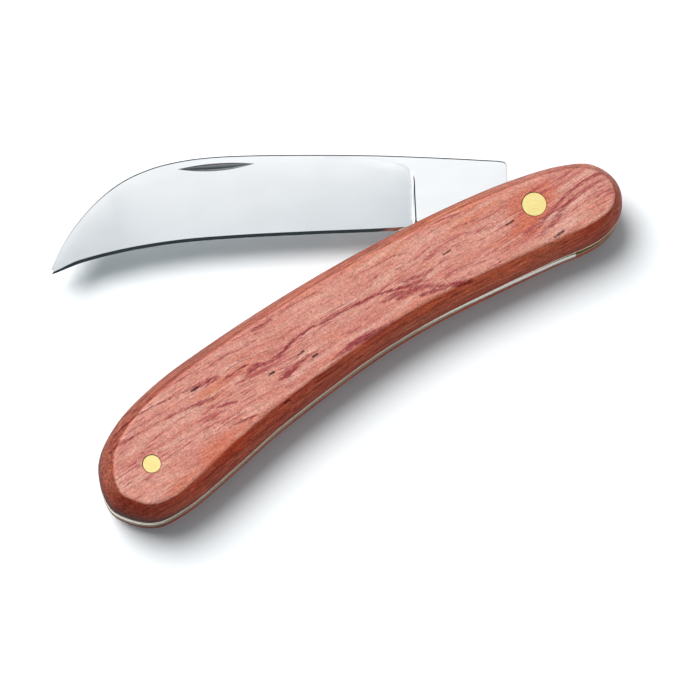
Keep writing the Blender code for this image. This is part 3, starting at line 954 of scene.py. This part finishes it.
# The last number is the strength of the painted shade down each scale's side
front_wood = wood("front_scale_wood", FRONT_VEINS, FRONT_DASHES, FRONT_STAINS, 4.0, front_high, 1.0)
rear_wood = wood("rear_scale_wood", REAR_VEINS, (), (), 61.0, rear_low, 0.5)
pin_brass = brass("pin_brass", rgb(1.0, 1.0, 1.0), 0.2)
# Painted light and shade: a paler copy of the brass for the front liner, a darker one for the rear liner,
# which lies in shade
front_liner_painted_light_brass = brass("front_liner_painted_light_brass", rgb(0.98, 1.0, 1.7), 0.34)
rear_liner_painted_shade_brass = brass("rear_liner_painted_shade_brass", rgb(0.42, 0.42, 0.6), 0.34)
blade_steel = steel("blade_polished_steel", rgb(0.86, 0.885, 0.90), 0.14, 9.0, -OPENED_BY)
# The spring's steel carries painted shade between x -20 and 24 mm and along its seams
spring_steel = steel(
    "spring_ground_steel", rgb(1.0, 0.97, 0.86), 0.16, 14.0, painted_shade_between=(-20.0, 24.0)
)

front_scale = make_scale("front_scale", front_low, front_high, FRONT_FULLNESS)
rear_scale = make_scale("rear_scale", rear_high, rear_low, REAR_FULLNESS)
register(front_scale, "handle", "front_scale", front_wood)
register(rear_scale, "handle", "rear_scale", rear_wood)
for node, material in (("front_liner", front_liner_painted_light_brass), ("rear_liner", rear_liner_painted_shade_brass)):
    liner = make_plate(f"{node}_sheet", handle_outline(), layer(node), all_pins, 0.03)
    register(liner, "handle", node, material)
for node in ("pivot_pin", "butt_pin", "spring_pin"):
    register(make_pin(f"{node}_rod", node), "handle", node, pin_brass)
register(make_blade(), "blade", "blade", blade_steel)

spring = make_spring()
spring.data.materials.append(spring_steel)
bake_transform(spring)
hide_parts("back_spring")


# ---------------------------------------------------------------- stage


def make_floor():
    bm = bmesh.new()
    bmesh.ops.create_grid(bm, x_segments=1, y_segments=1, size=3.0)
    mesh = bpy.data.meshes.new("floor")
    bm.to_mesh(mesh)
    bm.free()
    floor = bpy.data.objects.new("floor", mesh)
    floor.location.z = -0.0001
    bpy.context.collection.objects.link(floor)
    paper = bpy.data.materials.new("floor_white")
    paper.use_nodes = True
    shader = paper.node_tree.nodes["Principled BSDF"]
    shader.inputs["Base Color"].default_value = rgb(0.812, 0.82, 0.828)
    shader.inputs["Roughness"].default_value = 0.9
    shader.inputs["Emission Color"].default_value = rgb(0.81, 1.10, 1.18)
    shader.inputs["Emission Strength"].default_value = 0.09
    shader.inputs["Specular IOR Level"].default_value = 0.1
    mesh.materials.append(paper)


def make_camera():
    """The camera's own axes, in the frame's coordinates, and where it stands."""
    right = Vector((0.8170, -0.5760, 0.0278))
    up = Vector((0.5555, 0.7991, 0.2299))
    back = right.cross(up).normalized()
    up = back.cross(right).normalized()
    turn = Matrix((right.normalized(), up, back)).transposed().to_4x4()
    camera = bpy.data.objects.new("camera", bpy.data.cameras.new("camera"))
    camera.data.lens = 198.0
    camera.data.sensor_width = 36.0
    camera.data.clip_start = 0.01
    camera.matrix_world = Matrix.Translation(Vector((-0.10012, -0.11341, 0.63863))) @ turn
    bpy.context.collection.objects.link(camera)
    bpy.context.scene.camera = camera


PICTURE_UP = Vector((0.5707, 0.8211, 0.0))
PICTURE_RIGHT = Vector((0.8211, -0.5707, 0.0))


def in_picture(lean_degrees, turn_degrees):
    """Direction that far off the zenith, turned from the picture's top towards its left."""
    lean, turn = math.radians(lean_degrees), math.radians(turn_degrees)
    level = PICTURE_UP * math.cos(turn) - PICTURE_RIGHT * math.sin(turn)
    return level * math.sin(lean) + Vector((0.0, 0.0, math.cos(lean)))


def make_key():
    """Broad soft light from above, the top and the left of the picture."""
    light = bpy.data.objects.new("key", bpy.data.lights.new("key", "AREA"))
    direction = in_picture(27.1, 51.5)
    light.location = direction * 2.5
    light.rotation_euler = direction.to_track_quat("Z", "Y").to_euler()
    light.data.shape = "DISK"
    light.data.size = 1.55
    light.data.energy = 79.0
    light.visible_glossy = False
    bpy.context.collection.objects.link(light)


def make_sky():
    """Pale walls under a dark ceiling, with a broad soft panel and a small bright one in it.

    Two more panels, at the picture's left and right, are there only in reflections.
    """
    world = bpy.data.worlds.new("studio")
    bpy.context.scene.world = world
    world.use_nodes = True
    tree = world.node_tree
    background = tree.nodes["Background"]
    direction = tree.nodes.new("ShaderNodeTexCoord").outputs["Generated"]

    def panel(middle, stops):
        """Colour by the cosine off the panel's middle; the first two stops are its two ends."""
        towards = tree.nodes.new("ShaderNodeVectorMath")
        towards.operation = "DOT_PRODUCT"
        tree.links.new(direction, towards.inputs[0])
        towards.inputs[1].default_value = middle
        ramp = tree.nodes.new("ShaderNodeValToRGB")
        tree.links.new(towards.outputs["Value"], ramp.inputs["Fac"])
        elements = ramp.color_ramp.elements
        for place, (position, colour) in enumerate(stops):
            element = elements[place] if place < 2 else elements.new(position)
            element.position, element.color = position, colour
        return ramp.outputs["Color"]

    black = rgb(0.0, 0.0, 0.0)
    broad_stops = (
        (0.80, rgb(0.032, 0.042, 0.045)),
        (0.998, rgb(1.26, 1.25, 1.24)),
        (0.90, rgb(0.28, 0.29, 0.30)),
        (0.966, rgb(0.76, 0.79, 0.82)),
        (0.99, rgb(1.14, 1.14, 1.14)),
    )
    small_stops = ((0.978, black), (0.99, rgb(1.5, 1.5, 1.5)))
    wall_stops = ((0.02, rgb(0.95, 0.95, 0.96)), (0.36, black), (0.12, rgb(0.45, 0.45, 0.46)))
    side_stops = ((0.38, black), (0.68, rgb(0.8, 0.81, 0.82)))
    broad = panel(in_picture(20.0, 12.0), broad_stops)
    small = panel(in_picture(21.0, 75.0), small_stops)
    walls = panel((0.0, 0.0, 1.0), wall_stops)
    left, right = (panel(side, side_stops) for side in (-PICTURE_RIGHT, PICTURE_RIGHT))

    def combined(operation, a, b):
        node = tree.nodes.new("ShaderNodeVectorMath")
        node.operation = operation
        tree.links.new(a, node.inputs[0])
        tree.links.new(b, node.inputs[1])
        return node.outputs["Vector"]

    in_gloss = tree.nodes.new("ShaderNodeLightPath").outputs["Is Glossy Ray"]
    total = combined("MULTIPLY", combined("ADD", left, right), in_gloss)
    for part in (broad, small, walls):
        total = combined("ADD", total, part)
    tree.links.new(total, background.inputs["Color"])
    background.inputs["Strength"].default_value = 1.0


make_floor()
make_camera()
make_key()
make_sky()
bpy.context.scene.view_settings.view_transform = "Standard"
